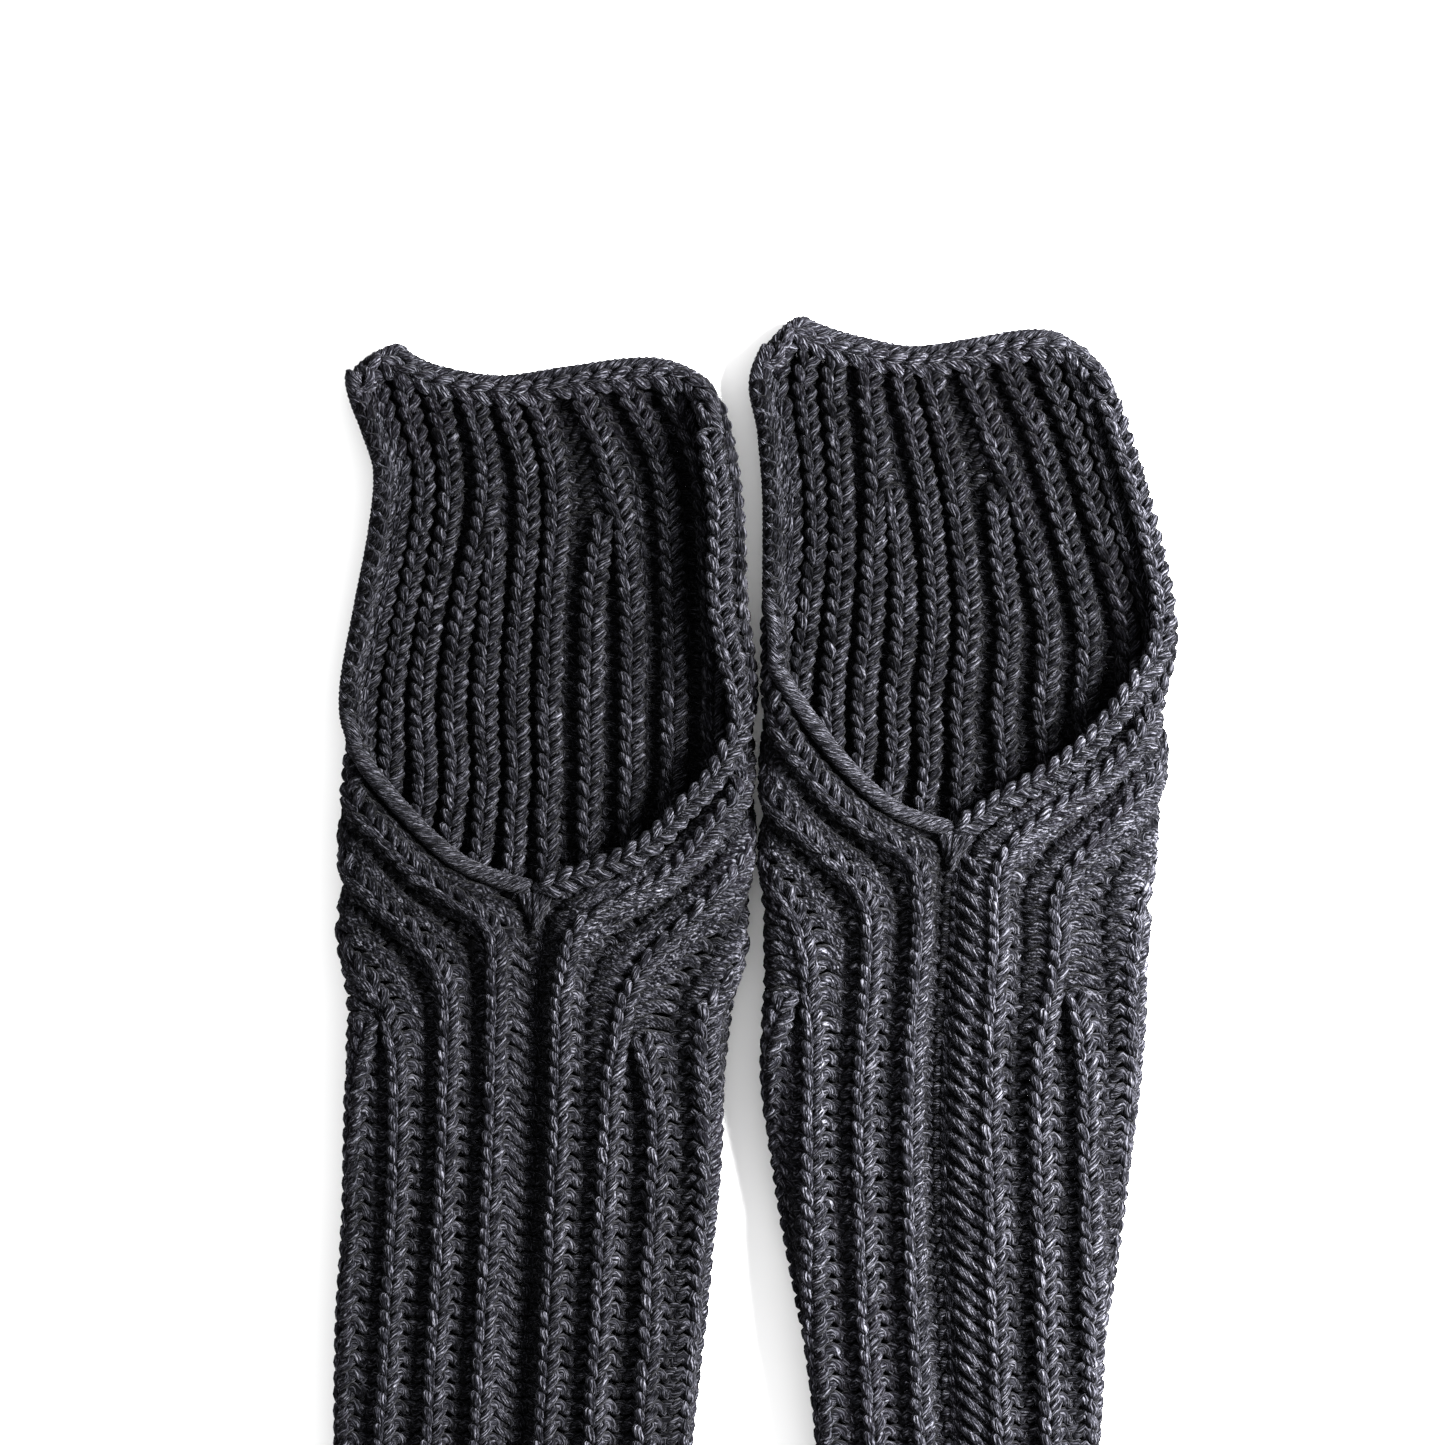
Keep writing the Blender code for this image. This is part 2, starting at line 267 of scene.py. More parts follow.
# The gloves. "left" and "right" are their outlines from above, "front" is the seam, and the rims
# are the slit's edges as far as the side folds, all as (y, x). The free edges above are given as
# (y, distance past the flat underside), and "top", the finger edge, as (share of the half width,
# y). "edge_strip" is the plain fabric on each side of the seam. "merges" says at which y two ribs
# run together: negative ribs are in the left half, and a half rib merges two that face inwards.
LEFT = {
    "name": "left_glove",
    "sleeve": "left_sleeve",
    "flap": "left_hand_flap",
    "fold": "left_flap_fold",
    "left": [(-176.3, -109.5), (-93.0, -110.5), (-51.5, -108.4), (-4.7, -108.6), (21.3, -110.3),
             (36.9, -109.8), (47.3, -110.4), (57.7, -109.3), (78.5, -110.5), (99.3, -107.1),
             (120.1, -103.2), (135.7, -101.9), (146.1, -105.0), (156.5, -108.7), (162.0, -108.4),
             (169.3, -101.0)],
    "right": [(-176.3, -23.1), (-114.0, -17.0), (-72.0, -11.7), (-41.1, -7.8), (-4.7, -6.1),
              (8.3, -3.3), (23.9, -1.1), (65.5, 0.3), (81.1, 0.6), (101.9, -1.8), (125.8, -2.9),
              (146.1, -6.0), (157.8, -10.1), (165.0, -16.0)],
    "front": [(-176.3, -66.3), (-110.0, -62.0), (-30.0, -58.5), (30.0, -57.7)],
    "rim_left": [(27.0, -57.7), (29.6, -67.3), (34.3, -77.7), (43.4, -88.1), (55.1, -98.5),
                 (64.2, -105.0)],
    "rim_right": [(27.0, -57.7), (29.6, -49.1), (36.9, -30.9), (46.8, -20.5), (56.4, -11.4),
                  (68.1, -5.7)],
    "free_left": [(66.8, 13.0), (76.0, 9.0), (100.0, 8.0), (170.0, 8.0)],
    "free_right": [(75.9, 13.0), (96.7, 15.0), (133.0, 14.0), (170.0, 13.0)],
    "edge_strip": (9.8, 6.8),
    # painted shade on the hand flap
    "flap_painted_shade": -4.0,
    "top": [(-1.0, 162.5), (-0.88, 169.6), (-0.76, 167.8), (-0.5, 163.8), (-0.15, 161.3),
            (0.2, 163.6), (0.6, 166.0), (0.78, 165.0), (0.92, 159.0), (1.0, 154.0)],
    "merges": [(-5.0, -3), (-9.0, 2), (10.0, 4), (119.0, -5.5), (123.5, 6.5)],
}
RIGHT = {
    "name": "right_glove",
    "sleeve": "right_sleeve",
    "flap": "right_hand_flap",
    "fold": "right_flap_fold",
    "left": [(-165.9, 19.0), (-114.0, 14.0), (-82.0, 9.0), (-51.5, 4.2), (-25.0, 0.6),
             (0.0, -0.6), (125.0, -0.6), (146.0, -2.0), (160.0, -3.9), (176.3, 4.0)],
    "right": [(-165.9, 84.8), (-93.1, 90.7), (-51.5, 95.9), (-4.7, 101.4), (10.9, 102.4),
              (26.5, 102.4), (42.1, 105.0), (62.9, 107.1), (73.3, 106.3), (94.1, 110.5),
              (109.7, 108.6), (125.3, 105.0), (146.1, 98.8), (160.4, 93.9), (170.0, 89.0)],
    "front": [(-165.9, 51.9), (-90.0, 47.5), (-30.0, 46.0), (20.0, 48.5), (43.0, 51.0)],
    "rim_left": [(42.1, 51.0), (46.8, 36.7), (57.7, 23.7), (70.7, 13.3), (84.0, 4.5)],
    "rim_right": [(42.1, 51.0), (49.9, 62.7), (59.0, 78.3), (73.3, 93.9), (86.3, 104.3)],
    "free_left": [(94.0, 13.0), (110.0, 8.0), (180.0, 8.0)],
    "free_right": [(96.7, 12.0), (112.0, 8.0), (180.0, 8.0)],
    "edge_strip": (6.2, 13.6),
    # painted shade on the hand flap
    "flap_painted_shade": -5.4,
    "top": [(-1.0, 169.5), (-0.89, 176.6), (-0.76, 175.2), (-0.6, 173.2), (-0.4, 171.2),
            (-0.1, 169.0), (0.3, 171.3), (0.6, 173.3), (0.8, 172.6), (0.91, 168.5), (1.0, 162.0)],
    "merges": [(2.0, -3), (2.0, 2), (22.0, 4), (131.0, -5.5), (131.5, 6.5)],
}


def curve_through(points):
    """A smooth function through (place, value) points, held level past its ends."""
    places, values = np.array(points, float).T
    low, high = np.arange(len(places)) - 1, np.arange(len(places)) + 1
    low, high = np.clip(low, 0, None), np.clip(high, None, len(places) - 1)
    slopes = (values[high] - values[low]) / (places[high] - places[low])

    def value(place):
        at = np.clip(place, places[0], places[-1])
        k = np.clip(np.searchsorted(places, at, side="right") - 1, 0, len(places) - 2)
        span = places[k + 1] - places[k]
        t = (at - places[k]) / span
        return (
            values[k] * (1 + 2 * t) * (1 - t) ** 2
            + values[k + 1] * t * t * (3 - 2 * t)
            + span * (slopes[k] * t * (1 - t) ** 2 - slopes[k + 1] * t * t * (1 - t))
        )

    return value


def smooth(low, high, value):
    t = np.clip((value - low) / (high - low), 0, 1)
    return t * t * (3 - 2 * t)


def rounded(path, reach):
    """A path on the grid with its corners rounded over a reach in millimetres."""
    steps = np.arange(-int(3 * reach / GRID), int(3 * reach / GRID) + 1) * GRID
    weights = np.exp(-0.5 * (steps / reach) ** 2)
    padded = np.pad(path, len(steps) // 2, mode="edge")
    return np.convolve(padded, weights / weights.sum(), mode="valid")


class Layout:
    """Where a glove's fabric lies: its wales' paths, and the way round the flattened tube."""

    def __init__(self, glove):
        self.glove = glove
        hem_low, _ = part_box(glove["name"] + "_cast_on_hem")
        fold = next(j for j in frame["joints"] if j["name"] == glove["fold"])
        self.hem_y = hem_low.y / MM
        self.fold_y = fold["pos_m"][1] / MM
        self.outer = {-1: curve_through(glove["left"]), 1: curve_through(glove["right"])}
        self.front = curve_through(glove["front"])
        self.top = curve_through(glove["top"])
        self.notch_y = glove["rim_left"][0][0]
        self.grid = np.arange(self.hem_y - GRID_MARGIN, GRID_TOP, GRID)
        self.reach = {side: self.edge_length(side) for side in (-1, 1)}
        self.eyelets = []
        self.paths, self.alive = self.wale_paths()

    def limit(self, side, y):
        """X where the flat underside ends and the side fold begins."""
        return self.outer[side](y) - side * (STAND + FOLD_R)

    def centre(self, y):
        return (self.limit(-1, y) + self.limit(1, y)) / 2

    def across_from_x(self, side, y, x):
        """Distance round the tube to a place X on the front layer."""
        return side * (self.limit(side, y) - self.centre(y)) + HALF_TURN + side * (
            self.limit(side, y) - x)

    def edge_length(self, side):
        """Distance from the back centre to the seam, the rim or the free edge, on the grid."""
        y = self.grid
        glove = self.glove
        flat = side * (self.limit(side, y) - self.centre(y))
        seam = self.across_from_x(side, y, self.front(y))
        rim = curve_through(glove["rim_left" if side < 0 else "rim_right"])
        free = curve_through(glove["free_left" if side < 0 else "free_right"])
        on_rim = self.across_from_x(side, y, rim(y))
        last = glove["rim_left" if side < 0 else "rim_right"][-1][0]
        handover = smooth(last + HANDOVER[0], last + HANDOVER[1], y)
        above = on_rim * (1 - handover) + (flat + free(y)) * handover
        return np.where(y < self.notch_y, seam, np.minimum(seam, above))

    def length(self, side, y):
        return np.interp(y, self.grid, self.reach[side])

    def past_notch(self, low, high, y):
        """0 to 1 between two distances above the notch."""
        return smooth(self.notch_y + low, self.notch_y + high, y)

    def in_hand(self, y):
        return self.past_notch(0, HAND_ZONE, y)

    def offset_edge(self, side, distance):
        """The edge moved inwards, parallel to itself, by a distance that varies along the grid."""
        steps = np.linspace(-1, 1, OFFSET_STEPS)
        y = self.grid[None] + steps[:, None] * distance[None]
        edge = self.length(side, y) - np.sqrt(1 - steps[:, None] ** 2) * distance[None]
        return edge.min(0)

    def half_paths(self, side):
        """Distance from the back centre of each wale of one half, from the edge inwards."""
        y = self.grid
        whole = self.length(side, np.full(1, self.notch_y - WIDTH_PLACE))[0]
        strip = self.glove["edge_strip"][0 if side < 0 else 1]
        arm_strip = ARM_STRIP[side]
        edge = strip + (arm_strip - strip) * self.past_notch(*STRIP_CHANGE, y)
        shrink = 1 - CROWD * self.past_notch(CROWD_START[side], CROWD_END, y)
        weights = np.ones((2 * RIBS - 1, len(y)))
        alive = np.ones((2 * RIBS + 1, len(y)), bool)
        for merge_y, rib in self.glove["merges"]:
            if rib * side < 0:
                continue
            fade = 1 - smooth(merge_y + MERGE_FROM, merge_y + MERGE_TO, y)
            k = int(2 * abs(rib))
            weights[k - 2] *= fade
            weights[k - 1] *= fade
            spare = RELAX_SHARE * (1 - fade) * (1 - smooth(merge_y, merge_y + RELAX_LENGTH, y))
            weights[k - 3] += spare
            weights[k] += spare
            alive[k] &= fade > MERGED
            alive[k + 1] &= fade > MERGED
        pitch = (whole - strip) / len(weights)
        front = np.cumsum(weights[:FRONT_WALES], 0) * pitch
        behind = np.cumsum(weights[FRONT_WALES:], 0) / weights[FRONT_WALES:].sum(0)
        spans = np.concatenate([front, front[-1] + behind * (whole - edge - front[-1])])
        offsets = np.concatenate([EDGE_WALE * edge[None], edge[None], edge + spans])
        near = self.offset_edge(side, STRAIGHT_OFFSET * shrink)
        found = []
        for offset in offsets:
            bounded = np.minimum(offset, STRAIGHT_OFFSET)
            parallel = self.offset_edge(side, bounded * shrink)
            share = (whole - np.maximum(offset, STRAIGHT_OFFSET)) / (whole - STRAIGHT_OFFSET)
            path = np.where(offset < STRAIGHT_OFFSET, parallel, near * share)
            inwards = min(offset.mean(), STRAIGHT_OFFSET)
            found.append(rounded(path, ROUNDING + ROUNDING_GROWTH * inwards))
        for merge_y, rib in self.glove["merges"]:
            if rib * side > 0:
                distance = np.interp(merge_y, y, found[int(2 * abs(rib))])
                self.eyelets.append((side * distance, merge_y))
        return np.array(found), alive

    def eyelet(self, across, y):
        """How far into an eyelet a place is, up to 1 in its middle."""
        share = np.zeros_like(across)
        for middle, height in self.eyelets:
            apart = ((across - middle) / EYELET[0]) ** 2 + ((y - height) / EYELET[1]) ** 2
            share = np.maximum(share, np.exp(-apart))
        return share

    def wale_paths(self):
        """All wales from the left edge to the right one; even ones are purl, odd ones knit."""
        left, left_alive = self.half_paths(-1)
        right, right_alive = self.half_paths(1)
        paths = np.concatenate([-left, right[-2::-1]])
        return paths, np.concatenate([left_alive, right_alive[-2::-1]])

    def wale(self, w, y):
        return np.interp(y, self.grid, self.paths[w])

    def place(self, across, y, out):
        """Points in space, and the fabric's outward normal there."""
        side = np.where(across < 0, -1, 1)
        limit = np.where(side < 0, self.limit(-1, y), self.limit(1, y))
        flat = side * (limit - self.centre(y))
        past = np.abs(across) - flat
        turn = np.clip(past / FOLD_R, 0, math.pi)
        lying = np.minimum(past, 0) - np.maximum(past - HALF_TURN, 0)
        length = np.where(side < 0, self.length(-1, y), self.length(1, y))
        groove = np.exp(-(((length - np.abs(across)) / GROOVE_WIDTH) ** 2))
        out = out - GROOVE_DEPTH * groove * (1 - self.past_notch(-GROOVE_END, 0, y))
        place = np.where(side < 0, *GAP_PLACE)
        gap = np.exp(-(((length - np.abs(across) - place) / GAP_WIDTH) ** 2))
        on_arm = self.past_notch(*ARM_START, y) * (1 - smooth(ARM_TOP, ARM_TOP + GAP_FADE, y))
        out = out - GAP_DEPTH * gap * on_arm
        out = out - EYELET_DEPTH * self.eyelet(across, y) * (past > HALF_TURN / 2)
        x = limit + side * (FOLD_R * np.sin(turn) + lying + out * np.sin(turn))
        z = BACK_Z + FOLD_R * (1 - np.cos(turn)) - out * np.cos(turn)
        normal = np.stack([side * np.sin(turn), np.zeros_like(turn), -np.cos(turn)], -1)
        return np.stack([x, y, z], -1), normal

    def past_fold(self, across, y):
        """Distance round the tube past the end of the flat underside."""
        middle = self.centre(y)
        flat = np.where(across < 0, middle - self.limit(-1, y), self.limit(1, y) - middle)
        return np.abs(across) - flat

    def on_edge(self, across, y):
        """How nearly upright the fabric stands, up to 1 at the tube's sides."""
        return np.exp(-(((self.past_fold(across, y) - HALF_TURN / 2) / SIDE_REACH) ** 2))

    def tone(self, across, y):
        """Painted shade: darker yarn on the hand flap, left of the slit and in the eyelets."""
        in_front = smooth(FRONT_SHARE * HALF_TURN, HALF_TURN, self.past_fold(across, y))
        flap = self.glove["flap_painted_shade"] * self.past_notch(*FLAP_ZONE, y)
        arm = np.where(across < 0, LEFT_ARM_PAINTED_SHADE, 0) * self.past_notch(-LEFT_ARM_LENGTH, 0, y)
        eyelet = EYELET_PAINTED_SHADE * self.eyelet(across, y)
        return flap * (1 - in_front) + arm * in_front + eyelet

    def sink(self, across, y):
        """How far a course lies below its height at the back, beside the slit."""
        share = np.abs(across) / np.where(across < 0, self.length(-1, y), self.length(1, y))
        rise = self.past_notch(SINK_FROM, SINK_FULL, y)
        fall = 1 - self.past_notch(SINK_FULL, SINK_END, y)
        return SINK * rise * fall * smooth(*SINK_SHARE, share)

    def lift(self, across, y):
        """Courses near the finger edge follow its line."""
        share = across / np.where(across < 0, self.length(-1, y), self.length(1, y))
        middle = self.top(np.zeros(1))[0]
        return (self.top(share) - middle) * smooth(middle - LIFT_LENGTH, middle, y)


def course_heights(layout):
    """The place of each course, from the cast-on hem to just under the bound-off edge.

    Those above the notch are spread a little, so that the last one ends at the chain.
    """
    heights = [layout.hem_y + FIRST_COURSE]
    finish = layout.top(np.zeros(1))[0] - CHAIN_ROOM
    while heights[-1] < finish:
        share = float(layout.past_notch(*ROW_CHANGE, heights[-1]))
        heights.append(heights[-1] + ROW_SLEEVE + (ROW_HAND - ROW_SLEEVE) * share)
    heights = np.array(heights)
    above = np.maximum(heights - layout.notch_y, 0)
    return heights - above * (heights[-1] - finish) / above[-1]


def loop_template():
    """A whole knit loop, left to right, as (across, up, out, yarn radius), its middle at 0."""
    left = HALF_LOOP * (-1, 1, 1, 1)
    return np.concatenate([left, HALF_LOOP[::-1]])


def between(low, high, share):
    return low + (high - low) * float(share)


def course(layout, y0, row_height, rng):
    """One course's path, as (across, y, out), with a radius and a tone for each point."""
    template = loop_template()
    turned = 1 - smooth(*LOOP_TURN, np.abs(template[:, 0]))
    in_hand = layout.in_hand(y0)
    wide = between(LOOP_SLEEVE, LOOP_HAND, in_hand)
    deep = between(PURL_DEPTH, PURL_DEPTH_HAND, in_hand)
    points, radii, tones = [], [], []
    wales = [w for w in range(len(layout.paths))
             if np.interp(y0, layout.grid, layout.alive[w].astype(float)) > 0.5]
    at_back = np.array([layout.wale(w, y0) for w in wales])
    bases = y0 - layout.sink(at_back, np.full_like(at_back, y0))
    middles = np.array([layout.wale(w, base + row_height / 2) for w, base in zip(wales, bases)])
    gaps = np.maximum(np.diff(middles), LEAST_GAP)
    tilts = np.clip(np.gradient(bases, middles), -MOST_TILT, MOST_TILT)
    for i, w in enumerate(wales):
        knit = w % 2 == 1
        before = gaps[i - 1] if i else 2 * template[-1, 0]
        after = gaps[i] if i < len(gaps) else 2 * template[-1, 0]
        shape = template.copy()
        shape[:, :3] += rng.normal(0, LOOP_WANDER, (len(shape), 3))
        half = len(shape) // 2
        for part, end, room in ((slice(0, half), slice(0, 3), before),
                                (slice(half, None), slice(-3, None), after)):
            squeeze = min(wide, room / 2 / LOOP_ROOM)
            shape[part, 0] *= squeeze
            reach = np.abs(template[end, 0])
            inner = reach.min() * squeeze
            along = (reach - reach.min()) / (reach.max() - reach.min())
            shape[end, 0] = np.sign(template[end, 0]) * (inner + along * (room / 2 - inner))
            shape[end, 3] *= np.clip(room / BAR_ROOM, 1, BAR_MOST)
        up = shape[:, 1] * row_height / ROW_SLEEVE + rng.normal(0, ROW_WANDER)
        low, high = LEAN_SPAN
        rise = layout.wale(w, bases[i] + high) - layout.wale(w, bases[i] + low)
        lean = np.clip(rise / (high - low), -MOST_LEAN, MOST_LEAN)
        y = bases[i] + up - shape[:, 0] * turned * lean / math.hypot(1, lean)
        y = y + tilts[i] * shape[:, 0] * (1 - turned)
        path = layout.wale(w, y)
        step = layout.wale(w, y + SLOPE_STEP) - layout.wale(w, y - SLOPE_STEP)
        slope = step / (2 * SLOPE_STEP)
        widen = np.sqrt(1 + np.minimum(slope**2, MOST_WIDENING))
        widen[:2] = widen[-2:] = 1
        across = path + shape[:, 0] * widen + rng.normal(0, WALE_WANDER)
        out = shape[:, 2] if knit else -shape[:, 2] - deep * turned
        keep = slice(0, -1) if i < len(wales) - 1 else slice(None)
        points.append(np.stack([across, y, out], -1)[keep])
        radii.append(shape[keep, 3])
        legs = np.repeat(rng.normal(0, 1, 2), half)[:len(points[-1])]
        tones.append(legs)
    return np.concatenate(points), np.concatenate(radii), np.concatenate(tones)


def unit(vector):
    return vector / (np.linalg.norm(vector) + 1e-9)


def tube(path, normal, radius, tone, height=None, sides=YARN_SIDES, twist=TWIST_LENGTH, start=0.0):
    """Vertices, quads and yarn attributes of a round strand swept along a path."""
    count = len(path)
    tangent = np.gradient(path, axis=0)
    tangent /= np.linalg.norm(tangent, axis=1, keepdims=True) + 1e-12
    side = np.cross(tangent, normal)
    side /= np.linalg.norm(side, axis=1, keepdims=True) + 1e-12
    up = np.cross(side, tangent)
    steps = np.linalg.norm(np.diff(path, axis=0), axis=1)
    along = start + np.concatenate([[0], np.cumsum(steps)])
    angle = 2 * math.pi * np.arange(sides) / sides
    radius = np.broadcast_to(radius, (count,))
    cos, sin = np.cos(angle)[None, :, None], np.sin(angle)[None, :, None]
    ring = cos * side[:, None] + sin * up[:, None]
    verts = path[:, None] + ring * radius[:, None, None]
    turned = angle[None] + 2 * math.pi * along[:, None] / twist
    lengthwise = np.broadcast_to(along[:, None], turned.shape)
    yarn = np.stack([lengthwise, np.cos(turned), np.sin(turned)], -1)
    first = np.arange(count - 1)[:, None] * sides + np.arange(sides)[None]
    second = np.arange(count - 1)[:, None] * sides + (np.arange(sides)[None] + 1) % sides
    quads = np.stack([first, second, second + sides, first + sides], -1).reshape(-1, 4)
    tones = np.repeat(tone[:, None], sides, 1)
    # Painted shade: deep yarn is painted darker by its skin's height, the crowns a little paler
    if height is not None:
        skin = (height[:, None] + radius[:, None] * np.sin(angle)) * np.sin(angle)
        tones = tones + DEEP_PAINTED_SHADE + (PROUD_PAINTED_LIGHT - DEEP_PAINTED_SHADE) * smooth(DEEP, PROUD, skin)
    return verts.reshape(-1, 3), quads, yarn.reshape(-1, 3), tones.ravel()


class Strands:
    """Collects strands of yarn, and makes one mesh of them."""

    def __init__(self):
        self.verts, self.quads, self.yarn, self.tone, self.count = [], [], [], [], 0

    def add(self, path, normal, radius, tone, height=None, **options):
        radius = np.broadcast_to(radius, (len(path),))
        tip = path[0] + TIP_LENGTH * radius[0] * unit(path[0] - path[1])
        end = path[-1] + TIP_LENGTH * radius[-1] * unit(path[-1] - path[-2])
        path = np.concatenate([tip[None], path, end[None]])
        normal = np.concatenate([normal[:1], normal, normal[-1:]])
        radius = np.concatenate([[TIP_R], radius, [TIP_R]])
        tone = np.concatenate([tone[:1], tone, tone[-1:]])
        if height is not None:
            height = np.concatenate([height[:1], height, height[-1:]])
        verts, quads, yarn, tones = tube(path, normal, radius, tone, height, **options)
        self.verts.append(verts)
        self.quads.append(quads + self.count)
        self.yarn.append(yarn)
        self.tone.append(tones)
        self.count += len(verts)

    def make(self, name, material):
        verts = np.concatenate(self.verts) * MM
        quads = np.concatenate(self.quads)
        mesh = bpy.data.meshes.new(name)
        mesh.vertices.add(len(verts))
        mesh.vertices.foreach_set("co", verts.astype(np.float32).ravel())
        mesh.loops.add(quads.size)
        mesh.loops.foreach_set("vertex_index", quads.astype(np.int32).ravel())
        mesh.polygons.add(len(quads))
        mesh.polygons.foreach_set("loop_start", np.arange(0, quads.size, 4, dtype=np.int32))
        mesh.update()
        mesh.validate()
        mesh.shade_smooth()
        yarn = mesh.attributes.new("yarn", "FLOAT_VECTOR", "POINT")
        yarn.data.foreach_set("vector", np.concatenate(self.yarn).astype(np.float32).ravel())
        tone = mesh.attributes.new("tone", "FLOAT", "POINT")
        tone.data.foreach_set("value", np.concatenate(self.tone).astype(np.float32))
        obj = bpy.data.objects.new(name, mesh)
        obj.data.materials.append(material)
        bpy.context.scene.collection.objects.link(obj)
        return obj


def knit(layout, material, rng):
    """The whole rib fabric, cut into pieces at courses so that the flap can bend."""
    heights = course_heights(layout)
    steps = np.append(np.diff(heights), ROW_HAND)
    low, high = layout.fold_y - BLEND_REACH, layout.fold_y + BLEND_REACH
    bands = {"sleeve_low": Strands(), "sleeve_mid": Strands(), "sleeve_high": Strands(),
             "fold": Strands(), "hand_low": Strands(), "hand_high": Strands()}
    sleeve_third = (low - layout.hem_y) / 3
    hand_half = (heights[-1] - high) / 2
    for y0, step in zip(heights, steps):
        points, radii, tones = course(layout, y0, step, rng)
        across, y, out = points.T
        y = y + layout.lift(across, y)
        on_edge = layout.on_edge(across, y)
        in_hand = layout.in_hand(y)
        flatter = out * (1 - SIDE_FLATNESS * on_edge) + SIDE_LIFT * on_edge * (1 - in_hand)
        path, normal = layout.place(across, y, flatter)
        # Painted shade: darker yarn on the hand flap, left of the slit and in the eyelets
        tones = tones + layout.tone(across, y)
        radii = radii * (1 + SIDE_SWELL * on_edge) * (1 + HAND_SWELL * in_hand)
        if y0 + COURSE_ABOVE < low:
            k = min(int((y0 - layout.hem_y) / sleeve_third), 2)
            band = ("sleeve_low", "sleeve_mid", "sleeve_high")[k]
        elif y0 - COURSE_BELOW < high:
            band = "fold"
        else:
            band = "hand_low" if y0 < high + hand_half else "hand_high"
        # out, passed as height, sets the painted shade of deep yarn
        bands[band].add(path, normal, radii, tones, height=out, start=rng.uniform(*START_RANGE))
    made = {}
    for band, strands in bands.items():
        made[band] = strands.make(f"{layout.glove['name']}_{band}_knit", material)
    return made


def resample(points, spacing):
    """Evenly spaced points along a path, with any further columns carried along."""
    steps = np.linalg.norm(np.diff(points[:, :3], axis=0), axis=1)
    along = np.concatenate([[0], np.cumsum(steps)])
    count = max(int(along[-1] / spacing), 4)
    at = np.linspace(0, along[-1], count)
    return np.stack([np.interp(at, along, column) for column in points.T], -1)


def rope(strands, path, normal, plies, ply_radius, pitch, hand, rng):
    """Plies twisted round each other along a path; hand is 1 or -1."""
    both = resample(np.concatenate([path, normal], 1), ROPE_STEP)
    path, normal = both[:, :3], both[:, 3:]
    tangent = np.gradient(path, axis=0)
    tangent /= np.linalg.norm(tangent, axis=1, keepdims=True)
    side = np.cross(tangent, normal)
    side /= np.linalg.norm(side, axis=1, keepdims=True)
    up = np.cross(side, tangent)
    along = np.concatenate([[0], np.cumsum(np.linalg.norm(np.diff(path, axis=0), axis=1))])
    orbit = ply_radius / math.sin(math.pi / plies) * ROPE_TIGHTNESS
    for ply in range(plies):
        turn = hand * 2 * math.pi * along / pitch + 2 * math.pi * ply / plies
        radial = np.cos(turn)[:, None] * side + np.sin(turn)[:, None] * up
        tones = np.full(len(path), rng.normal(0, 1))
        start = rng.uniform(*START_RANGE)
        strands.add(path + orbit * radial, radial, ply_radius, tones, start=start)


def slit_line(layout, side):
    """The line of the slit's edge, from the notch to the finger edge."""
    finish = layout.top(np.array([side * 1.0]))[0] - BAND_HEIGHT
    y = np.arange(layout.notch_y + SLIT_START, finish, STEP)
    across = side * (layout.length(side, y) - SLIT_OUT)
    return layout.place(across, y + layout.lift(across, y), np.full_like(y, SLIT_OUT))


def rolled_edge(layout, rng, material):
    """The left edge of the slit: a soft roll of slanting strands."""
    path, normal = slit_line(layout, -1)
    strands = Strands()
    rope(strands, path, normal, ROLL_PLIES, ROLL_PLY, ROLL_PITCH, 1, rng)
    name = layout.glove["name"]
    obj = strands.make(name + "_rolled_slit_edge", material)
    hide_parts(name + "_left_slit_cord")
    across_joint(obj)
    return obj


def stitched_edge(layout, rng, material):
    """The right edge of the slit: a folded knit rib, which turns upright above the arm."""
    path, normal = slit_line(layout, 1)
    raised = smooth(ARM_TOP, ARM_TOP + TURN_LENGTH, path[:, 1])[:, None]
    path = path - raised * (TURN_SHIFT, 0, 0)
    facing = normal * (1 - raised * (TURN_SHARE, 0, 0)) + raised * (0, 0, 1)
    strands = Strands()
    chain(strands, path, facing, EDGE_LINK, EDGE_WIDTH, EDGE_DEPTH, rng)
    name = layout.glove["name"]
    obj = strands.make(name + "_stitched_slit_edge", material)
    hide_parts(name + "_right_slit_cord")
    across_joint(obj)
    return obj


def chain(strands, path, normal, link, width, depth, rng):
    """A row of knit loops lying along a path, facing along its normals."""
    both = resample(np.concatenate([path, normal], 1), link)
    template = loop_template()[3:-3]
    for i in range(len(both) - 1):
        here, ahead = both[i, :3], both[i + 1, :3]
        along = (ahead - here) / np.linalg.norm(ahead - here)
        outward = both[i, 3:] - along * (both[i, 3:] @ along)
        outward /= np.linalg.norm(outward)
        across = np.cross(along, outward)
        shape = template.copy()
        shape[:, :3] += rng.normal(0, LINK_WANDER, (len(shape), 3))
        loop = (here + shape[:, :1] * across * width
                + shape[:, 1:2] * along * link / ROW_SLEEVE + shape[:, 2:3] * outward * depth)
        tones = np.full(len(loop), rng.normal(0, 1))
        facing = np.repeat(outward[None], len(loop), 0)
        strands.add(loop, facing, shape[:, 3] * LINK_SWELL, tones, start=rng.uniform(*START_RANGE))


